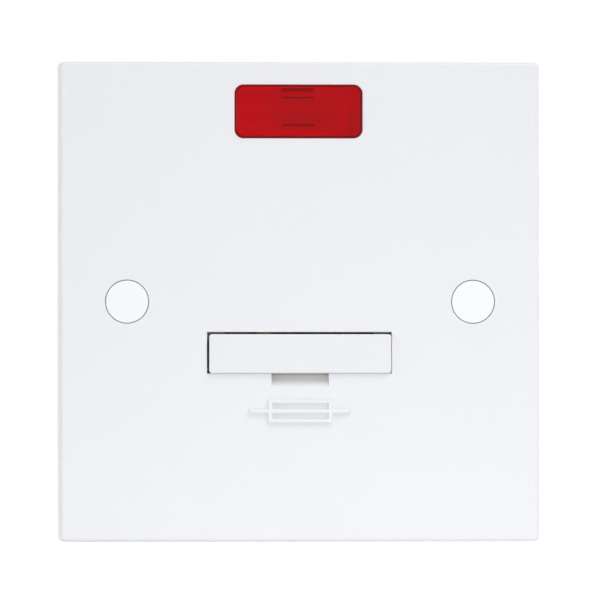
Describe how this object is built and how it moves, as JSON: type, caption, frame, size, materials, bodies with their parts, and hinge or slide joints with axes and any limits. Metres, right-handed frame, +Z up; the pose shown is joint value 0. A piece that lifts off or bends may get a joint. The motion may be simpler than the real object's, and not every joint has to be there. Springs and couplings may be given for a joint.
{
  "type": "fused spur unit",
  "caption": "Square white wall plate with a red indicator window, a pull-out fuse drawer, screw caps and a terminal housing behind, for wiring a fixed appliance.",
  "frame": {"origin": "midway between the two fixing holes, on the wall plane", "axes": "+X right and +Z up as seen from the front, +Y into the wall"},
  "size_m": [0.084, 0.0252, 0.084],
  "materials": {
    "plate_plastic": "smooth moulded, soft gloss",
    "cap_plastic": "smooth moulded, soft gloss",
    "drawer_plastic": "smooth moulded, soft gloss",
    "inner_plastic": "moulded, matt",
    "housing_plastic": "moulded, matt",
    "red_window": "clear red, glossy",
    "lamp_glass": "clear",
    "bright_wire": "tinned",
    "resistor_coat": "lacquer",
    "live_sleeve": "extruded sleeve",
    "neutral_sleeve": "extruded sleeve",
    "fuse_ceramic": "unglazed ceramic",
    "fuse_cap_metal": "nickel plated",
    "spring_brass": "rolled strip",
    "terminal_brass": "machined",
    "plated_steel": "zinc plated"
  },
  "bodies": {
    "unit": {"front_plate": "plate_plastic", "neon_lens": "red_window", "neon_carrier": "inner_plastic", "neon_lamp": "lamp_glass", "neon_electrodes": "bright_wire", "neon_resistor": "resistor_coat", "neon_lead_live": "live_sleeve", "neon_lead_neutral": "neutral_sleeve", "supply_fuse_clip": "spring_brass", "load_fuse_clip": "spring_brass", "supply_terminal": "terminal_brass", "load_terminal": "terminal_brass", "neutral_terminal": "terminal_brass", "earth_terminal": "terminal_brass", "supply_screw": "plated_steel", "load_screw": "plated_steel", "neutral_screws": "plated_steel", "earth_screws": "plated_steel", "rear_housing": "housing_plastic", "housing_screws": "plated_steel"},
    "drawer": {"fuse_drawer": "drawer_plastic", "fuse_body": "fuse_ceramic", "fuse_caps": "fuse_cap_metal"},
    "cap_left": {"screw_cap_left": "cap_plastic"},
    "cap_right": {"screw_cap_right": "cap_plastic"}
  },
  "joints": [
    {"name": "drawer_slide", "type": "slide", "parent": "unit", "child": "drawer", "axis": [0, -1, 0], "range_m": [0, 0.01]},
    {"name": "cap_left_pull", "type": "slide", "parent": "unit", "child": "cap_left", "axis": [0, -1, 0], "range_m": [0, 0.006]},
    {"name": "cap_right_pull", "type": "slide", "parent": "unit", "child": "cap_right", "axis": [0, -1, 0], "range_m": [0, 0.006]}
  ]
}
